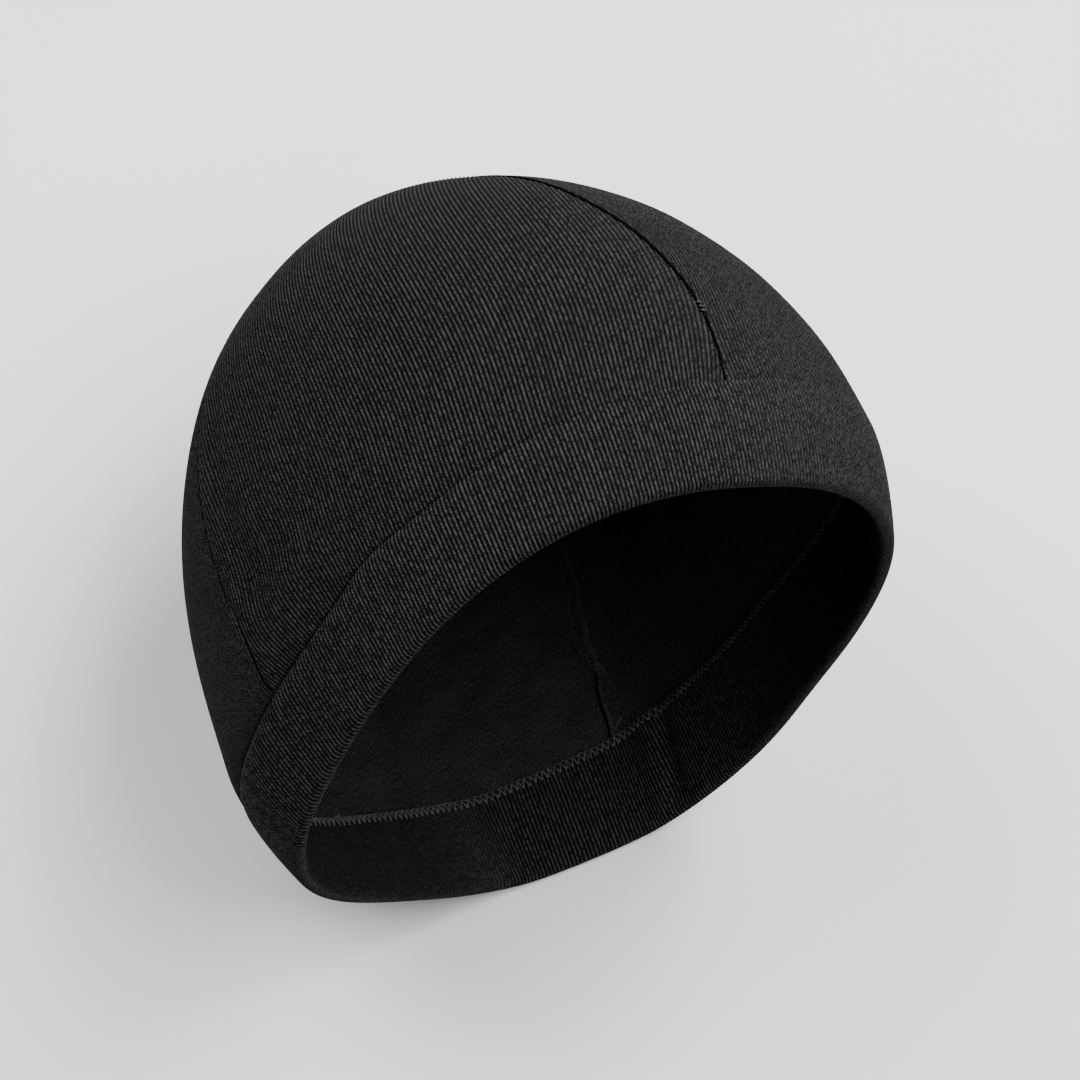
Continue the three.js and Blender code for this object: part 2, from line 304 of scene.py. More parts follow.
def grid_faces(rows, columns, wraps):
    """Row, column and four corners of each face of a grid of points, its columns joined round
    and its rows too if it wraps."""
    r, c = np.meshgrid(np.arange(rows if wraps else rows - 1), np.arange(columns), indexing="ij")
    r, c = r.ravel(), c.ravel()
    here, above = r * columns, (r + 1) % rows * columns
    after = (c + 1) % columns
    return r, c, np.stack([here + c, here + after, above + after, above + c], 1)


def halved(faces):
    """Two triangles' worth of every face's four corners."""
    return np.concatenate([faces[:, [0, 1, 2]], faces[:, [0, 2, 3]]])


def with_area(triangles):
    """Which triangles have three corners of their own."""
    return (triangles != np.roll(triangles, 1, axis=1)).all(1)


def put(data, key, values, kind=np.float32):
    """Gives every element of a mesh's data its value."""
    data.foreach_set(key, values.astype(kind).ravel())


def smooth_piece(name, places, triangles, maps, materials, material_of):
    """An object of smooth triangles over places in metres. maps holds each UV map's three spots
    for every triangle, and material_of the number of its material."""
    mesh = bpy.data.meshes.new(name)
    mesh.vertices.add(len(places))
    mesh.loops.add(triangles.size)
    mesh.polygons.add(len(triangles))
    put(mesh.vertices, "co", places)
    put(mesh.loops, "vertex_index", triangles, np.int32)
    put(mesh.polygons, "loop_start", np.arange(0, triangles.size, 3), np.int32)
    for map_name, spots in maps.items():
        put(mesh.uv_layers.new(name=map_name).uv, "vector", spots)
    for material in materials:
        mesh.materials.append(material)
    put(mesh.polygons, "material_index", material_of, np.int32)
    put(mesh.polygons, "use_smooth", np.ones(len(triangles)), bool)
    mesh.update(calc_edges=True)
    piece = bpy.data.objects.new(name, mesh)
    bpy.context.scene.collection.objects.link(piece)
    return piece


def woven(name, points, calm_and_shade, corners, wraps, materials, material_of):
    """A closed cloth mesh over a grid (rows, columns) of points, its columns joined round and its
    rows too if it wraps. The third argument is how relaxed each is, raised on the hem's inner face
    as painted shade; corners gives each map the x of a face's left and right side and the y of the
    rows. Points that meet become one, and faces left without area go."""
    rows, columns = points.shape[:2]
    places = points.reshape(-1, 3) * 0.001
    places[:, 2] = np.maximum(places[:, 2], 0)
    _, first, same = np.unique(
        np.round(places, 8), axis=0, return_index=True, return_inverse=True)
    _, c, faces = grid_faces(rows, columns, wraps)
    triangles = halved(same.ravel()[faces])
    keep = with_area(triangles)
    maps = {}
    for map_name, (left, right, y) in corners.items():
        low, high = y[:-1, None], y[1:, None]
        spots = np.stack([
            np.stack(np.broadcast_arrays(*spot), -1)
            for spot in ((left, low), (right, low), (right, high), (left, high))], 2)
        maps[map_name] = halved(spots.reshape(-1, 4, 2))[keep]
    piece = smooth_piece(name, places[first], triangles[keep], maps, materials,
                         np.tile(material_of[c], 2)[keep])
    relaxed = np.broadcast_to(calm_and_shade, (rows, columns)).ravel()[first]
    put(piece.data.attributes.new("calm", "FLOAT", "POINT").data, "value", relaxed)
    piece.data.validate()
    return piece


def feed(tree, node, inputs):
    """Gives each named or numbered input of a node its value, or the socket that feeds it."""
    for key, value in inputs.items():
        if isinstance(value, bpy.types.NodeSocket):
            tree.links.new(value, node.inputs[key])
        else:
            node.inputs[key].default_value = value


def makers(tree):
    """Three makers for a node tree: a node with its inputs and settings, the result of a Math
    node, and a flat noise at a place."""

    def add(kind, inputs, **settings):
        node = tree.nodes.new("ShaderNode" + kind)
        for key, value in settings.items():
            setattr(node, key, value)
        feed(tree, node, inputs)
        return node

    def calc(operation, *values):
        return add("Math", dict(enumerate(values)), operation=operation).outputs[0]

    def noise(place, scale, **more):
        inputs = {"Vector": place, "Scale": scale, **more}
        return add("TexNoise", inputs, noise_dimensions="2D").outputs["Fac"]

    return add, calc, noise


WALE_WOBBLE, WOBBLE_SCALE = 0.3, 0.75
STITCH_LAG, LAG_SCALE, LEG_SLOPE = 2.0, 0.4, 1.3
FIBRES_PER_WALE, FIBRES_PER_COURSE = 3.3, 0.9
# Where the painted shade between the wales starts and where it is full, in wales from a rib.
GAP_SHADE_SIDES = (0.15, 0.38)


def knit_group():
    """Wales and their stitches. Place is (wale, course); ribs stand at whole wales, each a column
    of V stitches whose two legs slope down from its middle. Puts out the height, the painted shade
    of the gaps between the wales, and a tone that differs from fibre to fibre, stitch to stitch
    and wale to wale."""
    tree = bpy.data.node_groups.new("knit_stitches", "ShaderNodeTree")
    tree.interface.new_socket("Place", in_out="INPUT", socket_type="NodeSocketVector")
    tree.interface.new_socket("Calm", in_out="INPUT", socket_type="NodeSocketFloat")
    for output in ("Height", "GapShade", "Tone"):
        tree.interface.new_socket(output, in_out="OUTPUT", socket_type="NodeSocketFloat")
    start, end = tree.nodes.new("NodeGroupInput"), tree.nodes.new("NodeGroupOutput")
    add, calc, noise = makers(tree)
    place, calm_and_shade = start.outputs["Place"], start.outputs["Calm"]
    apart = add("SeparateXYZ", {0: place})
    course = apart.outputs[1]
    closed_up = calc("MINIMUM", calm_and_shade, 1.0)

    def eased(full, loss):
        """A strength that loses so much where the wales are closed up."""
        return calc("SUBTRACT", full, calc("MULTIPLY", closed_up, loss))

    wobble = calc("SUBTRACT", noise(place, WOBBLE_SCALE), 0.5)
    wale = calc("ADD", apart.outputs[0], calc("MULTIPLY", wobble, WALE_WOBBLE))
    count = calc("ROUND", wale)
    off = calc("ABSOLUTE", calc("SUBTRACT", wale, count))
    lag = calc("MULTIPLY", calc("SUBTRACT", noise(place, LAG_SCALE), 0.5), STITCH_LAG)
    phase = calc("ADD", calc("ADD", course, lag), calc("MULTIPLY", off, LEG_SLOPE))
    leg = calc("COSINE", calc("MULTIPLY", phase, 2 * np.pi))
    fibres = add("CombineXYZ", {0: calc("MULTIPLY", wale, FIBRES_PER_WALE),
                                1: calc("MULTIPLY", course, FIBRES_PER_COURSE)}).outputs[0]
    fuzz = calc("SUBTRACT", noise(fibres, 1.0, Detail=3.0, Roughness=0.6), 0.5)
    cell = add("CombineXYZ", {0: count, 1: calc("FLOOR", phase)}).outputs[0]
    each = add("TexWhiteNoise", {"Vector": cell}, noise_dimensions="2D").outputs["Value"]

    rib = calc("SUBTRACT", 1.0, calc("POWER", calc("MULTIPLY", off, 2.0), 2.0))
    height = calc("MULTIPLY", rib, calc("ADD", 0.55, calc("MULTIPLY", leg, 0.22)))
    height = calc("ADD", calc("MULTIPLY", height, eased(1.0, 0.45)), calc("MULTIPLY", fuzz, 0.7))
    # Painted shade between the wales: the gap mask rises, raggedly, away from each rib.
    ragged = calc("ADD", off, calc("MULTIPLY", fuzz, 0.25))
    gap = add("MapRange", {0: ragged, 1: GAP_SHADE_SIDES[0], 2: GAP_SHADE_SIDES[1], 3: 0.0, 4: 1.0},
              interpolation_type="SMOOTHSTEP").outputs[0]
    from_stitch = calc("MULTIPLY", calc("SUBTRACT", each, 0.5), eased(0.4, 0.2))
    from_fibre = calc("MULTIPLY", fuzz, eased(2.0, 0.6))
    tone = calc("ADD", calc("ADD", from_stitch, from_fibre), calc("MULTIPLY", leg, 0.15))
    # The tone is lower where the cloth is calm, and lower still on the hem's inner face, where the
    # calm value is raised above 1 as painted shade.
    tone = calc("ADD", tone, calc("SUBTRACT", 0.5, calc("MULTIPLY", calm_and_shade, 0.14)))
    feed(tree, end, {"Height": height, "GapShade": calc("MULTIPLY", gap, eased(1.0, 0.6)),
                     "Tone": tone})
    return tree


KNIT = knit_group()


def fresh_material(name):
    """A material, its tree's makers, and one that finishes its Principled shader: a colour, values
    and, where a height is given, a relief so many metres deep."""
    material = bpy.data.materials.new(name)
    material.use_nodes = True
    tree = material.node_tree
    shader = next(n for n in tree.nodes if n.type == "BSDF_PRINCIPLED")
    add, calc, noise = makers(tree)

    def finish(colour, values, height=None, strength=1.0, depth=0.0):
        feed(tree, shader, {"Base Color": colour, **values})
        if height is not None:
            relief = add("Bump", {"Strength": strength, "Distance": depth, "Height": height})
            feed(tree, shader, {"Normal": relief.outputs[0]})

    return material, add, calc, noise, finish


def knit_place(add):
    """The place on the knit map, its wale and its course."""
    place = add("UVMap", {}, uv_map="knit").outputs[0]
    apart = add("SeparateXYZ", {0: place})
    return place, apart.outputs[0], apart.outputs[1]


def shade(add, tone, low, high, low_at, high_at):
    """The colour that a Color Ramp from one colour to another gives a tone."""
    ramp = add("ValToRGB", {0: tone})
    for element, colour, at in zip(ramp.color_ramp.elements, (low, high), (low_at, high_at)):
        element.color, element.position = (*colour, 1.0), at
    return ramp.outputs[0]


MATT = {"Specular IOR Level": 0.015, "Sheen Weight": 0.006}


def knit_cloth(name, gap_shade_colour, low, high):
    """The cloth's outer face: matt yarn with painted shade between the wales, and a faint fuzz
    that shows where the cloth turns away."""
    material, add, _, _, finish = fresh_material(name)
    # The calm attribute: how relaxed the cloth is, raised on the hem's inner face as painted
    # shade.
    relaxed = add("Attribute", {}, attribute_name="calm").outputs["Fac"]
    knit = add("Group", {"Place": knit_place(add)[0], "Calm": relaxed}, node_tree=KNIT)
    yarn = shade(add, knit.outputs["Tone"], low, high, 0.15, 0.85)
    # The yarn darkens to the gap colour between the wales: painted shade.
    colour = add("Mix", {0: knit.outputs["GapShade"], 6: yarn, 7: (*gap_shade_colour, 1.0)},
                 data_type="RGBA").outputs[2]
    finish(colour, {**MATT, "Roughness": 0.9, "Sheen Roughness": 0.5}, knit.outputs["Height"],
           strength=0.9, depth=0.0003)
    return material


def brushed_cloth(name, low, high):
    """The cloth's inner face: brushed loops, a column to each wale, each a little higher than its
    neighbour so that they lie in slanting rows."""
    material, add, calc, noise, finish = fresh_material(name)
    place, wale, course = knit_place(add)
    stretched = add("Mapping", {0: place, "Scale": (4.2, 1.0, 1.0)}).outputs[0]
    slanting = calc("ADD", wale, calc("MULTIPLY", course, 0.75))
    row = calc("COSINE", calc("MULTIPLY", slanting, 2 * np.pi))
    column = calc("COSINE", calc("MULTIPLY", wale, 2 * np.pi))
    weave = calc("ADD", calc("MULTIPLY", row, 0.11), calc("MULTIPLY", column, 0.02))
    loops = calc("ADD", noise(stretched, 0.9, Detail=3.0, Roughness=0.65), weave)
    tone = calc("ADD", calc("MULTIPLY", loops, 0.88), calc("MULTIPLY", noise(place, 0.09), 0.12))
    finish(shade(add, tone, low, high, 0.38, 0.66),
           {**MATT, "Roughness": 0.95, "Sheen Roughness": 0.6}, loops, strength=0.8, depth=0.0006)
    return material


def grey(level, blue=0.0):
    """A grey of that level, with that much more blue."""
    return (level, level, level + blue)


# Each cloth's colours: painted shade between the wales on an outer face, then its darkest and
# lightest yarn.
CROWN_KNIT = knit_cloth("charcoal_knit", grey(0.0028), grey(0.006), grey(0.042, 0.0005))
BRUSHED = brushed_cloth("brushed_inside", grey(0.0018), grey(0.042, 0.0005))


def crown_rows(start_seam, end_seam):
    """Shares of the way up at which a panel's rows lie: close at the hem, then evenly spaced
    along the middle of the panel."""
    fine = np.sin(np.linspace(0, 1, 1200) * np.pi / 2)
    run = lengths(skin(*panel_place(start_seam, end_seam, fine, 0.5)))
    count = int(round((run[-1] - FIRST_ROWS[-1]) / ROW_PITCH))
    even = np.linspace(FIRST_ROWS[-1], run[-1], count + 1)[1:]
    at = np.concatenate([FIRST_ROWS, even])
    return np.interp(at, run, fine), at


def panel_wales(panel, start_seam, end_seam, share):
    """A panel's columns, one every quarter wale, parallel to its middle until a seam cuts them:
    each point's place across, wale and distance from a seam, then how the columns spread over the
    flat panel, and each row's width."""
    across = np.linspace(0, 1, 241)
    turn, height = panel_place(start_seam, end_seam, share[:, None], across[None])
    run = lengths(skin(turn, height))
    middle, width = len(across) // 2, run[:, -1:]
    wale = wale_at(turn[0, middle]) + (run - run[:, middle : middle + 1]) / PITCH
    wale += width / width[0] * wale_bend(panel, share[:, None], across[None])
    low, high = np.ceil(wale.min() * STEPS_PER_WALE), np.floor(wale.max() * STEPS_PER_WALE)
    wanted = np.arange(low, high + 1) / STEPS_PER_WALE
    wanted = np.concatenate([[wale.min() - 1], wanted, [wale.max() + 1]])
    at = np.array([np.interp(wanted, row, across) for row in wale])
    run_there = np.array([np.interp(a, across, row) for a, row in zip(at, run)])
    spread = (wanted.clip(wale.min(), wale.max()) - wale.min()) / np.ptp(wale)
    return (at, np.clip(wanted[None], wale[:, :1], wale[:, -1:]),
            np.minimum(run_there, width - run_there), spread, width[:, 0])


def two_faced(grid):
    """Values of the outer face, then the same from right to left for the inner one, with the row
    in which they meet below the first."""
    grid = np.vstack([grid[:1], grid])
    return np.concatenate([grid, grid[:, ::-1]], 1)


def on_bake_map(share):
    """A share of the bake map's width or height, kept off its borders."""
    return 0.004 + 0.992 * share


# The bake map's x: start and width of the outer face and of the inner one, which runs back, and
# both sides of the closing faces along the seams.
OUTER_ON_MAP, INNER_ON_MAP, SEAM_ON_MAP = (0.004, 0.606), (0.986, -0.36), (0.99, 0.996)


def crown_panel(panel, start_seam, end_seam):
    """A panel's outer face with its wales and rolled edges, and the inner face one cloth below.
    They close along the seams, at the crown's top and, halfway between them, at the hem."""
    share, up = crown_rows(start_seam, end_seam)
    at, wale, to_seam, spread, width = panel_wales(panel, start_seam, end_seam, share)
    turn, height = panel_place(start_seam, end_seam, share[:, None], at)
    to_hem, relaxed, hollow = up[:, None], calm(turn), dents(turn, height)
    roll = np.where(at < 0.5, SEAM_ROLL_DEPTH[start_seam], SEAM_ROLL_DEPTH[end_seam])
    roll = roll + SEAM_FOOT_ROLL * bell(to_hem, 0.0, SEAM_FOOT_REACH)
    groove, dip = hem_roll(turn, to_hem, DIP_ABOVE)
    face = np.maximum(rolled(to_seam, roll, SEAM_ROLL_REACH), groove) + dip + hollow
    rib = ribs(wale, turn, relaxed, to_hem) * smooth(to_seam, *RIB_FROM_SEAM)
    outer = in_cloth(turn, height, face - rib)
    inner = in_cloth(turn, height, np.maximum(CLOTH + hollow, face + THINNEST))
    points = np.concatenate([outer, inner[:, ::-1]], 1)
    foot = (outer[0] + inner[0]) / 2
    points = np.vstack([np.concatenate([foot, foot[::-1]])[None], points])
    columns, knit_x = len(spread), two_faced(wale)
    (start, across), (back, span) = OUTER_ON_MAP, INNER_ON_MAP
    bake_x = np.concatenate([start + across * spread, back + span * spread[::-1]])
    at_seam = np.arange(2 * columns) % columns == columns - 1
    piece = woven(
        panel + "_cloth", points, two_faced(relaxed),
        {"knit": (knit_x[:-1], np.roll(knit_x, -1, 1)[:-1],
                  np.concatenate([[0.0], up]) / COURSE_PITCH),
         "OFBake": (np.where(at_seam, SEAM_ON_MAP[0], bake_x)[None],
                    np.where(at_seam, SEAM_ON_MAP[1], np.roll(bake_x, -1))[None],
                    on_bake_map(np.arange(len(points)) / (len(points) - 1)))},
        False, [CROWN_KNIT, BRUSHED], (np.arange(2 * columns) >= columns - 1).astype(int))
    area = float(((width[1:] + width[:-1]) / 2 * np.diff(up)).sum()) * 1e-6
    return piece, (width[0] * 0.001, up[-1] * 0.001), area


for panel_name, seam_a, seam_b in PANELS:
    panel, cut_size, cut_area = crown_panel(panel_name, seam_a, seam_b)
    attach(panel, "root")
    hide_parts(panel_name)


# Folded hem. The same jersey turned up double at the rim and blind-stitched to the crown, so its
# wales run over the fold and show on both sides. Its raw edge stands just above the stitches.

HEM_THICKNESS, LAYER = 3.9, 1.85
# Share, azimuth and reach of the hem's stretch, where its wales stand wider apart, and the same
# for where they stand closer, so that in front both hem and crown keep the same wales.
HEM_STRETCH, HEM_SLACK = (0.37, 64.0, 32.0), (0.296, 240.0, 40.0)
SAME_WALES = np.radians(150.0)
HEM_STRETCHED = (42.0, 56.0, 168.0, 200.0)
# How much the calm value is raised on the hem's inner face, which darkens its tone: painted shade.
INNER_PAINTED_SHADE = 2.2
DIP_BELOW = 2.2
FOLD_ROWS, FACE_ROWS, FACE_LENGTH = 9, 14, 25.0
# The raw edge in section, as depth under the inner face and below the edge, and how far over the
# fold the space between the layers ends.
EDGE_ROUND, RAW_EDGE, POCKET_FLOOR = 0.7, ((0.25, 0.15), (0.9, 0.0), (LAYER, 0.1)), 0.4
# The soft fold inside: its azimuth at the rim, its slant in degrees per millimetre, the heights
# between which it starts, and the depth, place and reach of its ridge and its valley.
FOLD_AZIMUTH, FOLD_SLANT, FOLD_STARTS = 309.4, 0.15, (0.5, 6.0)
FOLD_RIDGE, FOLD_VALLEY = (0.9, 4.6, 2.4), (1.2, 0.4, 1.9)

# The hem's colours: painted shade between the wales, then its darkest and lightest yarn.
HEM_KNIT = knit_cloth("charcoal_hem_knit", grey(0.003), grey(0.007), grey(0.048, 0.0005))


def hem_outline(turn):
    """The folded cloth in section, as rows of (depth, height): down the outside, round the fold,
    up the inside, over the raw edge and back between the two layers."""
    stitch, edge = stitch_height(turn), around(HEM_EDGE, turn)
    half = HEM_THICKNESS / 2
    down = np.concatenate([FIRST_ROWS, np.linspace(FIRST_ROWS[-1], FACE_LENGTH, FACE_ROWS)[1:]])
    down = down[:, None] * (stitch - half) / FACE_LENGTH
    rows = [(sum(hem_roll(turn, d, DIP_BELOW)), stitch - d) for d in down]
    angle = np.linspace(0, np.pi, FOLD_ROWS + 2)[1:-1]
    rows += [(half - half * np.cos(a), half - half * np.sin(a)) for a in angle]
    rows += [(HEM_THICKNESS, half + (edge - EDGE_ROUND - half) * part)
             for part in np.linspace(0, 1, FACE_ROWS)]
    rows += [(HEM_THICKNESS - under, edge - below) for under, below in RAW_EDGE]
    rows += [(HEM_THICKNESS - LAYER, half + POCKET_FLOOR), (LAYER, half + POCKET_FLOOR),
             (LAYER, stitch)]
    depth, height = zip(*(np.broadcast_arrays(d, h, turn)[:2] for d, h in rows))
    return np.array(depth), np.array(height)


def cuff_fold(turn, height):
    """Inside the hem beyond the far seam, a soft fold from the raw edge to the rim: a ridge (more
    depth) and a valley beside it."""
    aside = np.degrees(turn) - (FOLD_AZIMUTH - FOLD_SLANT * height)
    ridge = FOLD_RIDGE[0] * bell(aside, *FOLD_RIDGE[1:])
    valley = FOLD_VALLEY[0] * bell(aside, *FOLD_VALLEY[1:])
    return (ridge - valley) * smooth(height, *FOLD_STARTS)


def hem_wales():
    """Wale count at every stitch turn: wider apart where the hem is stretched and closer where it
    is slack, as many as on the crown and, in front, the same."""
    dense = np.ones(len(stitch_turns))
    for sign, (share, azimuth, reach) in ((-1, HEM_STRETCH), (1, HEM_SLACK)):
        dense += sign * share * bell(np.degrees(stitch_turns), azimuth, reach)
    wales = np.concatenate([[0], np.cumsum((dense[1:] + dense[:-1]) / 2 * np.diff(stitch_run))])
    wales *= WALES / wales[-1]
    return wales + wale_at(SAME_WALES) - np.interp(SAME_WALES, stitch_turns, wales)


def folded_hem():
    """The section carried once round the cap, one column every quarter wale."""
    wales = hem_wales()
    first = np.ceil(wales[0] * STEPS_PER_WALE) / STEPS_PER_WALE
    wale = first + np.arange(WALES * STEPS_PER_WALE) / STEPS_PER_WALE
    turn = np.interp(wale, wales, stitch_turns)
    depth, height = hem_outline(turn)
    rows = len(depth)
    row = np.arange(rows)[:, None]
    raw_edge_row = FIRST_ROWS.size + FACE_ROWS - 1 + FOLD_ROWS + FACE_ROWS
    inner_face = depth > HEM_THICKNESS - 1.0
    relaxed = calm(turn, HEM_STRETCHED)
    from_stitch = np.where(row < FIRST_ROWS.size, stitch_height(turn) - height, FACE_LENGTH)
    rib = ribs(wale, turn, relaxed, from_stitch) * (row < raw_edge_row)
    points = in_cloth(turn[None], height,
                      depth + dents(turn[None], height) + inner_face * cuff_fold(turn, height)
                      - np.where(depth > CLOTH, -rib, rib))
    # Painted shade: the inner face's calm value is raised, which darkens its tone.
    relaxed = relaxed * np.where(inner_face, INNER_PAINTED_SHADE, 1.0)
    path = lengths(np.swapaxes(points, 0, 1))[0]
    left = wale[::-1][None]
    bake_x = on_bake_map(np.arange(len(wale) + 1) / len(wale))
    piece = woven(
        "folded_hem_cloth", points[:, ::-1], relaxed[:, ::-1],
        {"knit": (left, left - 1 / STEPS_PER_WALE,
                  -np.concatenate([path, [path[-1] + 1.0]]) / COURSE_PITCH),
         "OFBake": (bake_x[:0:-1][None], bake_x[-2::-1][None],
                    on_bake_map(np.linspace(1, 0, rows + 1)))},
        True, [HEM_KNIT], np.zeros(len(wale), int))
    return piece, (stitch_run[-1] * 0.001, path[raw_edge_row] * 0.001)


hem, hem_cut = folded_hem()
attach(hem, "root")
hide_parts("folded_hem")


# Overlock thread on the hem's raw edge, inside: a thick looper thread slants from the needle line
# up over the edge at every stitch and drops back under itself, and a thin one chains along it.

STITCH_PITCH = 1.92
THREAD_RADIUS, CHAIN_RADIUS, POINT_SHARE = 0.25, 0.13, 0.02
# Azimuths between which the thread is slimmer, and by how much.
SLIM_AZIMUTHS, SLIMMER_BY = (160.0, 200.0, 285.0, 325.0), 0.35
# How unevenly a thread's corners lie along the edge, below it and over the cloth.
UNEVEN = 0.05
UNEVEN_WAYS = np.array([0.6, 1.6, 0.6])
# A stitch's corners: share of it along the edge, distance below the edge, height over the cloth.
LOOPER = ((0.0, 2.4, 0.16), (0.2, 1.7, 0.36), (0.45, 0.6, 0.4), (0.62, -0.15, 0.2),
          (0.72, 0.5, 0.02), (0.86, 1.5, 0.0))
CHAIN = ((0.0, -0.15, 0.3), (0.25, -0.42, 0.1), (0.5, -0.15, 0.32), (0.75, 0.2, 0.2))


def sewing_thread(name, low, high, gloss=0.35):
    """Two-ply polyester thread: a twist along its length, a little gloss."""
    material, add, calc, noise, finish = fresh_material(name)
    place, across, along = knit_place(add)
    twist = calc("ADD", calc("MULTIPLY", across, 2.0), calc("MULTIPLY", along, 1.6))
    ply = calc("SINE", calc("MULTIPLY", twist, 2 * np.pi))
    tone = calc("ADD", noise(place, 0.8), calc("MULTIPLY", ply, 0.2))
    finish(shade(add, tone, low, high, 0.2, 0.8),
           {"Roughness": 0.6, "Specular IOR Level": gloss}, ply, strength=0.6, depth=0.0001)
    return material


HEM_THREAD = sewing_thread("overlock_thread", grey(0.02, 0.0002), grey(0.1, 0.002))


def tubes(name, paths, material, sides=6):
    """Round threads in one mesh. Each path is (places, radii, closed); an open one ends in points.
    A ring stands square to the path at every place, its start turned by the cap's axis."""
    vertices, faces, spots, start = [], [], [], 0
    angle = (np.arange(sides) * 2 * np.pi / sides)[:, None]
    for places, radii, closed in paths:
        count = len(places)
        if closed:
            ahead = unit(np.roll(places, -1, 0) - np.roll(places, 1, 0))
        else:
            ahead = unit(np.gradient(places, axis=0))
        side = unit(np.cross(ahead, CAP_AXIS) + 1e-6)
        other = np.cross(ahead, side)
        radii = np.broadcast_to(radii, (count,)).copy()
        if not closed:
            radii[[0, -1]] *= POINT_SHARE
        ring = np.cos(angle) * side[:, None] + np.sin(angle) * other[:, None]
        vertices.append((places[:, None] + radii[:, None, None] * ring).reshape(-1, 3))
        i, j, quads = grid_faces(count, sides, closed)
        faces.append(start + quads)
        run = lengths(np.concatenate([places, places[:1]]))
        near, far, left, right = run[i], run[i + 1], j / sides, (j + 1) / sides
        spots.append(np.stack([np.stack(spot, 1) for spot in (
            (left, near), (right, near), (right, far), (left, far))], 1))
        if not closed:
            first = start + np.arange(sides)[::-1]
            last = first[::-1] + (count - 1) * sides
            # fans of triangles, each a face with its last corner twice
            faces.append(np.array([[end[0], end[k], end[k + 1], end[k + 1]]
                                   for end in (first, last) for k in range(1, sides - 1)]))
            spots.append(np.zeros((len(faces[-1]), 4, 2)))
        start += count * sides
    triangles = halved(np.concatenate(faces))
    keep = with_area(triangles)
    return smooth_piece(name, np.concatenate(vertices) * 0.001, triangles[keep],
                        {"knit": halved(np.concatenate(spots))[keep]}, [material],
                        np.zeros(keep.sum(), int))


def soften(values, passes=2):
    """Rounds the corners of a closed run of values by averaging neighbours."""
    for _ in range(passes):
        values = (np.roll(values, 1, 0) + 2 * values + np.roll(values, -1, 0)) / 4
    return values


edge_turns = np.linspace(0, 2 * np.pi, 3601)
edge_run = lengths(in_cloth(edge_turns, around(HEM_EDGE, edge_turns),
                            np.full(len(edge_turns), HEM_THICKNESS)))
EDGE_STITCHES = int(round(edge_run[-1] / STITCH_PITCH))


def edge_thread(stitch_corners, steps, radius):
    """A closed thread that repeats its corners at every stitch of the raw edge, with so many steps
    between two, slimmer where the edge is stretched."""
    corners = np.array(stitch_corners)
    count = len(corners)
    rng = np.random.default_rng(11)
    uneven = rng.normal(0, UNEVEN, (EDGE_STITCHES, count, 3)) * UNEVEN_WAYS
    laps = np.arange(EDGE_STITCHES)[:, None, None] * np.array([1.0, 0, 0])
    run = (corners[None] + laps + uneven).reshape(-1, 3)
    run = np.concatenate([run, run[:1] + np.array([EDGE_STITCHES, 0, 0])])
    knots = np.append(np.arange(EDGE_STITCHES * count) / count, EDGE_STITCHES)
    at = np.arange(EDGE_STITCHES * count * steps) / (count * steps)
    along, below, proud = (np.interp(at, knots, run[:, k]) for k in range(3))
    along, below, proud = soften(np.stack([along - at, below, proud], 1)).T
    length = (at + along) % EDGE_STITCHES * edge_run[-1] / EDGE_STITCHES
    turn = np.interp(length, edge_run, edge_turns)
    slim = 1 - SLIMMER_BY * between(np.degrees(turn), *SLIM_AZIMUTHS)
    height = around(HEM_EDGE, turn) - below * slim
    proud = proud * slim + cuff_fold(turn, height)
    return in_cloth(turn, height, HEM_THICKNESS + proud + dents(turn, height)), radius * slim


hem_thread = tubes(
    "hem_overlock_thread",
    [(*edge_thread(LOOPER, 3, THREAD_RADIUS), True), (*edge_thread(CHAIN, 2, CHAIN_RADIUS), True)],
    HEM_THREAD)
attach(hem_thread, "root")


# Crown seams inside. The two cut edges of each seam are overlocked together and lie to one side as
# a flat double strip, with a ridge where the seam turns; over the hem the far one is a bare cord.

# Lighter cloth for the seam ridges inside: a painted highlight along them.
SEAM_RIDGE_HIGHLIGHT = brushed_cloth("seam_ridge_highlight", grey(0.004), grey(0.066, 0.001))
SEAM_STITCH, STEPS_PER_STITCH = 1.35, 10
# The ridge in section as (side, lift), then the flat strip as (share of its width, more, lift).
RIDGE = ((-0.6, 0.0), (-0.95, 0.5), (-0.65, 1.1), (0.0, 1.35), (0.6, 1.05), (0.85, 0.75))
FLAT_STRIP = ((0.5, 0.15, 0.62), (1.0, -0.25, 0.56), (1.0, 0.0, 0.28), (1.0, -0.2, -0.06),
              (0.5, 0.0, -0.12), (0.0, 0.0, -0.15))
POINTED_OVER, PUFF, CORD_PUFF = 1.2, 0.1, 0.35
BARE_CORD_TOP = 49.0
# height and wander of the far seam's ridge, then height and width of each strip
FAR_WANDER = ((30.0, 0.0), (38.0, -0.3), (44.0, 0.5), (49.0, -0.9), (53.0, -0.2), (58.0, 0.8),
              (70.0, 0.8), (75.0, -0.6), (92.0, 0.0), (159.0, 0.0))
STRIP_WIDTHS = {
    "far": ((0.0, 1.1), (48.0, 1.1), (60.0, 4.0), (66.0, 4.4), (86.0, 3.6), (159.0, 3.4)),
    "left": ((0.0, 2.6), (45.0, 3.6), (159.0, 3.4)),
    "right": ((0.0, 2.2), (40.0, 3.5), (159.0, 3.4)),
}


def beside(turn, height, side):
    """The turn of a place so many millimetres round the cap."""
    chord = np.linalg.norm(skin(turn + 0.01, height) - skin(turn - 0.01, height), axis=-1)
    return turn + np.asarray(side) * 0.02 / chord


def on_lining(turn, height, side, lift):
    """A place beside a point of the cap's inner face, that far round it and above it."""
    there = beside(turn, height, side)
    return in_cloth(there, height, CLOTH + dents(there, height) + lift)


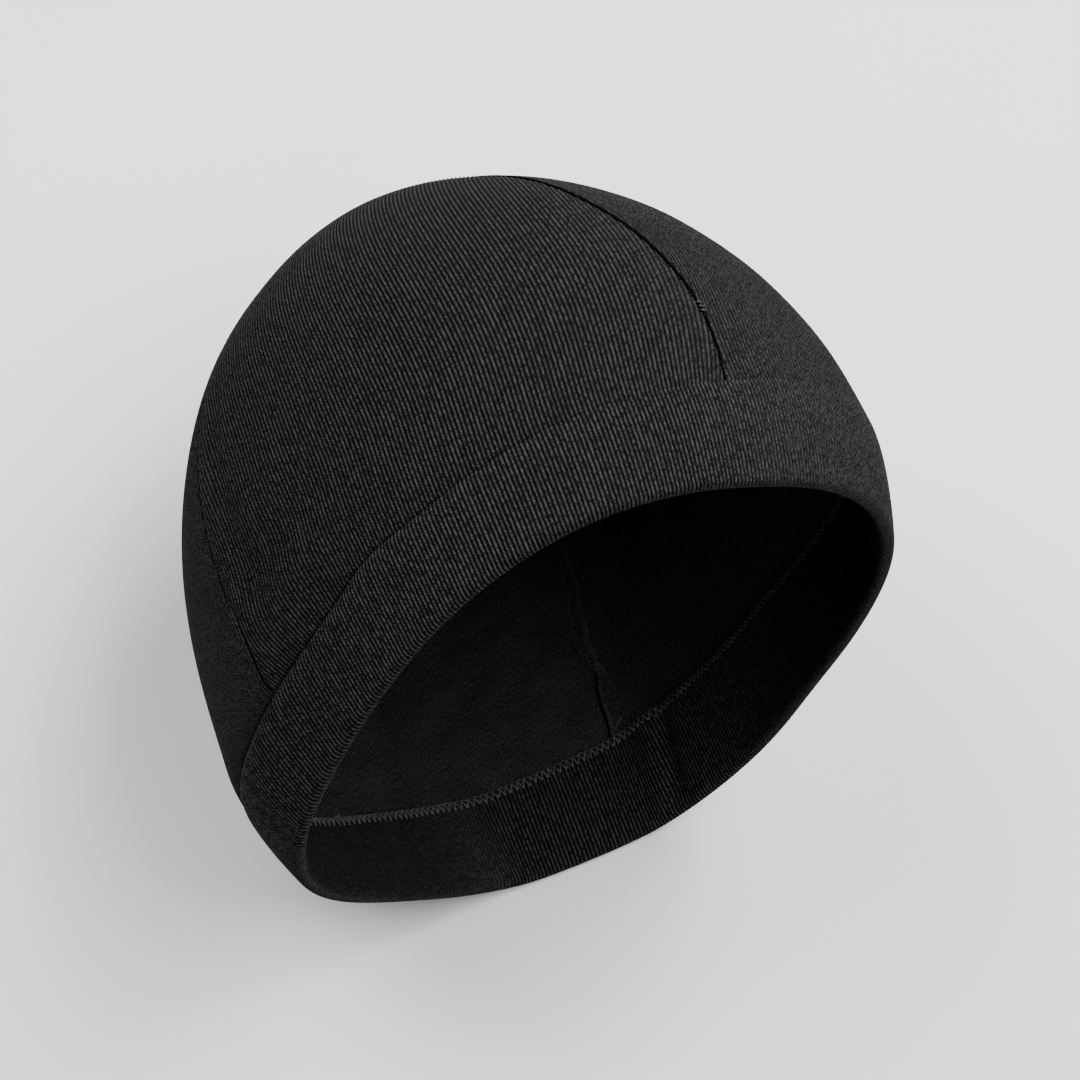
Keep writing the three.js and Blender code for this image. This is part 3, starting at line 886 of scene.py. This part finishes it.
def seam_line(name, start, stop_short=6.0):
    """Heights along a seam, a tenth of a stitch apart, from a start to near the crown's top."""
    height = start + (HEIGHT - 0.1 - start) * np.sin(np.linspace(0, np.pi / 2, 900))
    run = lengths(on_lining(seam_turn(name, height), height, 0.0, 0.0))
    steps = int((run[-1] - stop_short) / SEAM_STITCH) * STEPS_PER_STITCH
    return np.interp(np.arange(steps + 1) * SEAM_STITCH / STEPS_PER_STITCH, run, height)


def strip_shape(name, height):
    """The ridge's wander and the strip's width along a seam."""
    wave = 0.22 * np.sin(0.61 * height + len(name)) + 0.1 * np.sin(1.7 * height)
    wander = wave + (np.interp(height, *zip(*FAR_WANDER)) if name == "far" else 0.0)
    return wander, np.interp(height, *zip(*STRIP_WIDTHS[name]))


def seam_strip(name):
    """A section of ridge and flat strip carried along the seam, closed to a point at both ends."""
    start = around(HEM_EDGE, np.radians(SEAMS[name][0])) - 0.2
    height = seam_line(name, start)[:: STEPS_PER_STITCH // 2]
    wander, width = strip_shape(name, height)
    run = np.arange(len(height)) * SEAM_STITCH / 2
    size = np.sqrt(np.clip(np.minimum(run, run[-1] - run) / POINTED_OVER, 0, 1))
    puff = 1 + PUFF * np.sin(2 * np.pi * run / SEAM_STITCH)
    if name == "far":
        puff = puff + CORD_PUFF * (1 - smooth(height, BARE_CORD_TOP - 4, BARE_CORD_TOP + 4))
    ridge_side, ridge_lift = np.array(RIDGE).T[..., None]
    share, more, flat_lift = np.array(FLAT_STRIP).T[..., None]
    side = np.concatenate([ridge_side + 0 * width, share * width + more])
    lift = np.concatenate([ridge_lift, flat_lift]) * puff
    side, lift = (side * size + wander).T, (lift * size).T
    points = on_lining(seam_turn(name, height)[:, None], height[:, None], side, lift)
    columns = side.shape[1]
    edge = lengths(np.concatenate([points, points[:, :1]], 1))[:-1] / PITCH
    bake_x = on_bake_map(np.arange(columns + 1) / columns)[None]
    return woven(
        f"seam_allowance_{name}", points, 0.0,
        {"knit": (edge[:, :-1], edge[:, 1:], run / COURSE_PITCH),
         "OFBake": (bake_x[:, :-1], bake_x[:, 1:], on_bake_map(run / run[-1]))},
        # The ridge's faces get the lighter cloth: a painted highlight.
        False, [BRUSHED, SEAM_RIDGE_HIGHLIGHT], (np.arange(columns) < len(RIDGE) - 1).astype(int))


for seam_name in SEAMS:
    allowance = seam_strip(seam_name)
    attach(allowance, "root")


# Seam threads. Dark thread wraps each strip's edge and ties its ridge down, and holds the panels
# together in the groove outside, near black and matt there as painted shade in the groove; a few
# lighter ends stand out: a knot, loose ends, three stitches.

SEAM_THREAD = sewing_thread("seam_thread", grey(0.012), grey(0.06, 0.001))
# The needle thread in the grooves, made near black and matt as painted shade in the grooves.
GROOVE_SHADE_THREAD = sewing_thread("groove_shade_thread", grey(0.0005), grey(0.002), gloss=0.005)
GROOVE_STITCH, GROOVE_HIGH_UP = 0.94, (30.0, 75.0, 125.0, 150.0)
# how wide the zigzag is, how far it stands out high up, and the thread's radius low and high up
GROOVE_THREADS = {"left": (0.4, 0.0, 0.1, 0.1), "right": (1.0, 0.42, 0.2, 0.25),
                  "far": (0.4, 0.0, 0.2, 0.2)}
GROOVE_DEPTHS = (0.25, 0.35, 0.35)
# share of the stitch and step to the side, then the lift of cloth and thread at a step
WRAP = ((0.0, 0.08), (0.22, -0.4), (0.5, -1.5), (0.78, -0.4))
TIE = ((0.0, -1.05), (0.3, 0.1), (0.55, 0.15), (0.85, -1.0))
LIFT_OVER = ((-1.1, 0.1), (-0.7, 0.55), (-0.4, 1.0), (0.0, 1.15), (0.4, 0.95), (0.65, 0.7),
             (4.0, 0.6))
WRAP_RADIUS, TIE_RADIUS, STRAY_RADIUS = 0.1, 0.17, 0.2
# a stray end by the far seam: height, side and lift
STRAY = ((51.5, -0.9, 0.9), (50.6, -1.9, 1.3), (49.4, -2.7, 1.2), (48.3, -2.6, 1.0),
         (48.0, -1.8, 1.1), (48.8, -1.0, 0.9))
# the knot's size, its thread's radius, and its azimuth, height over the hem's edge and depth
KNOT_SIZE, KNOT_RADIUS, KNOT_AT = 0.23, 0.24, (np.radians(12.0), 0.9, 3.6)
# the loose end: azimuth, height and lift
LOOSE_END = ((316.2, 31.2, 1.2), (315.3, 32.2, 1.5), (314.3, 33.0, 1.9), (313.4, 33.3, 2.3))
LOOSE_RADIUS = 0.14
# light stitches over the right seam: their heights, and (degrees aside, height, depth)
RUNG_HEIGHTS, RUNG_RADIUS = (53.4, 54.9, 56.4), 0.16
RUNG = ((-0.4, 0.25, -0.1), (-0.15, 0.1, -0.5), (0.15, -0.1, -0.5), (0.4, -0.25, -0.1))


def zigzag(count, corners, seed):
    """Stitch shares and side steps of a thread that repeats its corners at every stitch."""
    rng = np.random.default_rng(seed)
    share = np.array([c[0] for c in corners]) + np.arange(count)[:, None]
    side = np.array([c[1] for c in corners]) + rng.normal(0, 0.07, (count, len(corners)))
    return share.ravel(), side.ravel()


def seam_wrap(name, corners, from_edge, seed):
    """A thread over a seam strip: its steps count from the strip's far edge or from its ridge."""
    start = BARE_CORD_TOP if name == "far" else around(HEM_EDGE, np.radians(SEAMS[name][0])) + 0.4
    height = seam_line(name, start, 8.0)
    share, side = zigzag(len(height) // STEPS_PER_STITCH, corners, seed)
    at = np.interp(share, np.arange(len(height)) / STEPS_PER_STITCH, height)
    wander, width = strip_shape(name, at)
    side = side + (width if from_edge else 0.0)
    lift = np.where(side > width, 0.25, np.interp(side, *zip(*LIFT_OVER))) + 0.08
    fine = np.linspace(0, len(at) - 1, 2 * len(at) - 1)
    at, side, lift = (np.interp(fine, np.arange(len(at)), v) for v in (at, side + wander, lift))
    return on_lining(seam_turn(name, at), at, side, lift)


def groove_shade_thread(name, seed):
    """The needle thread seen from outside, crossing down in the groove at every course."""
    height = seam_line(name, around(HEM_STITCH, np.radians(SEAMS[name][0])) + 1.0, 3.0)
    count = int(len(height) / STEPS_PER_STITCH / GROOVE_STITCH)
    width, proud, low, high = GROOVE_THREADS[name]
    share, side = zigzag(count, ((0.0, -width), (0.4, 0.2), (0.6, 0.2)), seed)
    at = np.interp(share * GROOVE_STITCH, np.arange(len(height)) / STEPS_PER_STITCH, height)
    high_up = between(at, *GROOVE_HIGH_UP)
    depth = np.tile(GROOVE_DEPTHS, count) - proud * high_up
    there = beside(seam_turn(name, at), at, side)
    return in_cloth(there, at, depth + dents(there, at)), low + (high - low) * high_up


def curve_through(places, count):
    """A smooth run of places through a few given ones."""
    fine = np.linspace(0, len(places) - 1, count)
    run = np.stack([np.interp(fine, np.arange(len(places)), places[:, k]) for k in range(3)], 1)
    for _ in range(3):
        run[1:-1] = (run[:-2] + 2 * run[1:-1] + run[2:]) / 4
    return run


seam_paths, groove_paths = [], []
for number, seam_name in enumerate(SEAMS):
    seam_paths.append((seam_wrap(seam_name, WRAP, True, 20 + number), WRAP_RADIUS, False))
    seam_paths.append((seam_wrap(seam_name, TIE, False, 30 + number), TIE_RADIUS, False))
    groove_paths.append((*groove_shade_thread(seam_name, 40 + number), False))
stray_height, stray_side, stray_lift = np.array(STRAY).T
stray = on_lining(seam_turn("far", stray_height), stray_height, stray_side, stray_lift)
seam_paths.append((curve_through(stray, 22), STRAY_RADIUS, False))
seam_thread = tubes("seam_overlock_thread", seam_paths, SEAM_THREAD, 5)
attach(seam_thread, "root")
# The groove thread, near black: painted shade along the seam grooves.
groove_thread_piece = tubes("crown_groove_thread", groove_paths, GROOVE_SHADE_THREAD, 5)
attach(groove_thread_piece, "root")

# A trefoil for the knot.
phase = np.linspace(0, 2 * np.pi, 36, endpoint=False)
knot = KNOT_SIZE * np.stack([np.sin(phase) + 2 * np.sin(2 * phase),
                             np.cos(phase) - 2 * np.cos(2 * phase), -1.2 * np.sin(3 * phase)], 1)
knot_turn, knot_over, knot_depth = KNOT_AT
knot_height = around(HEM_EDGE, knot_turn) + knot_over
knot = knot + in_cloth(knot_turn, knot_height, knot_depth + dents(knot_turn, 27.0))
loose_azimuth, loose_height, loose_lift = np.array(LOOSE_END).T
loose_end = on_lining(np.radians(loose_azimuth), loose_height, 0.0, loose_lift)
light_paths = [(knot, KNOT_RADIUS, True), (curve_through(loose_end, 12), LOOSE_RADIUS, False)]
rung_aside, rung_up, rung_depth = np.array(RUNG).T
for rung in RUNG_HEIGHTS:
    rung_turns, rung_heights = seam_turn("right", rung) + np.radians(rung_aside), rung + rung_up
    rung_places = in_cloth(rung_turns, rung_heights, rung_depth + dents(rung_turns, rung_heights))
    light_paths.append((curve_through(rung_places, 9), RUNG_RADIUS, False))
loose_threads = tubes("loose_threads", light_paths, HEM_THREAD)
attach(loose_threads, "root")


# Floor, light and camera. A pale studio floor under four large soft lamps: two keys on the right
# and behind, a fill on the left and a weak one in front.

FLOOR_HALF = 4.0
LAMP_SIZE, LAMP_DISTANCE = 1.4, 2.5
MIDDLE_HEIGHT = np.array([0.0, 0.0, 0.09])
# azimuth, elevation and power
LAMPS = {"key_right": (-20, 60, 54.0), "key_behind": (25, 45, 95.0), "fill_left": (115, 50, 65.0),
         "fill_front": (-65, 65, 10.0)}
CAMERA_PLACE = (-0.08962, -0.27742, 0.93878)
CAMERA_AZIMUTH, CAMERA_ELEVATION = -110.16, 72.0
SENSOR_WIDTH, LENS = 36.0, 111.53

floor_mesh = bpy.data.meshes.new("floor")
floor_mesh.from_pydata([(x * FLOOR_HALF, y * FLOOR_HALF, 0)
                        for x, y in ((-1, -1), (1, -1), (1, 1), (-1, 1))], [], [(0, 1, 2, 3)])
floor = bpy.data.objects.new("floor", floor_mesh)
bpy.context.scene.collection.objects.link(floor)
paper, paper_add, _, _, paper_finish = fresh_material("pale_paper")
grain = paper_add("TexNoise", {"Scale": 60.0}).outputs["Fac"]
paper_finish(shade(paper_add, grain, grey(0.88), grey(0.92), 0.3, 0.7), {"Roughness": 0.9})
floor_mesh.materials.append(paper)

world = bpy.data.worlds.new("studio")
world.use_nodes = True
world.node_tree.nodes["Background"].inputs[0].default_value = (1.0, 1.0, 1.0, 1.0)
world.node_tree.nodes["Background"].inputs[1].default_value = 0.02
bpy.context.scene.world = world


def direction(azimuth, elevation):
    """The way from the middle of the scene towards that azimuth and elevation."""
    a, e = np.radians([azimuth, elevation])
    return np.array([np.cos(a) * np.cos(e), np.sin(a) * np.cos(e), np.sin(e)])


def stand(name, data, place, back):
    """Puts a lamp or a camera at a place, level and looking away from that direction."""
    right = unit(np.cross([0.0, 0.0, 1.0], back))
    stood = bpy.data.objects.new(name, data)
    turned = Matrix(np.stack([right, np.cross(back, right), back], 1).tolist())
    stood.matrix_world = Matrix.Translation(place) @ turned.to_4x4()
    bpy.context.scene.collection.objects.link(stood)
    return stood


for lamp_name, (lamp_azimuth, lamp_elevation, lamp_power) in LAMPS.items():
    lamp = bpy.data.lights.new(lamp_name, "AREA")
    lamp.size, lamp.energy = LAMP_SIZE, lamp_power
    lamp_back = direction(lamp_azimuth, lamp_elevation)
    stand(lamp_name, lamp, MIDDLE_HEIGHT + LAMP_DISTANCE * lamp_back, lamp_back)

camera_data = bpy.data.cameras.new("view")
camera_data.sensor_width, camera_data.lens = SENSOR_WIDTH, LENS
bpy.context.scene.camera = stand("view", camera_data, CAMERA_PLACE,
                                 direction(CAMERA_AZIMUTH, CAMERA_ELEVATION))
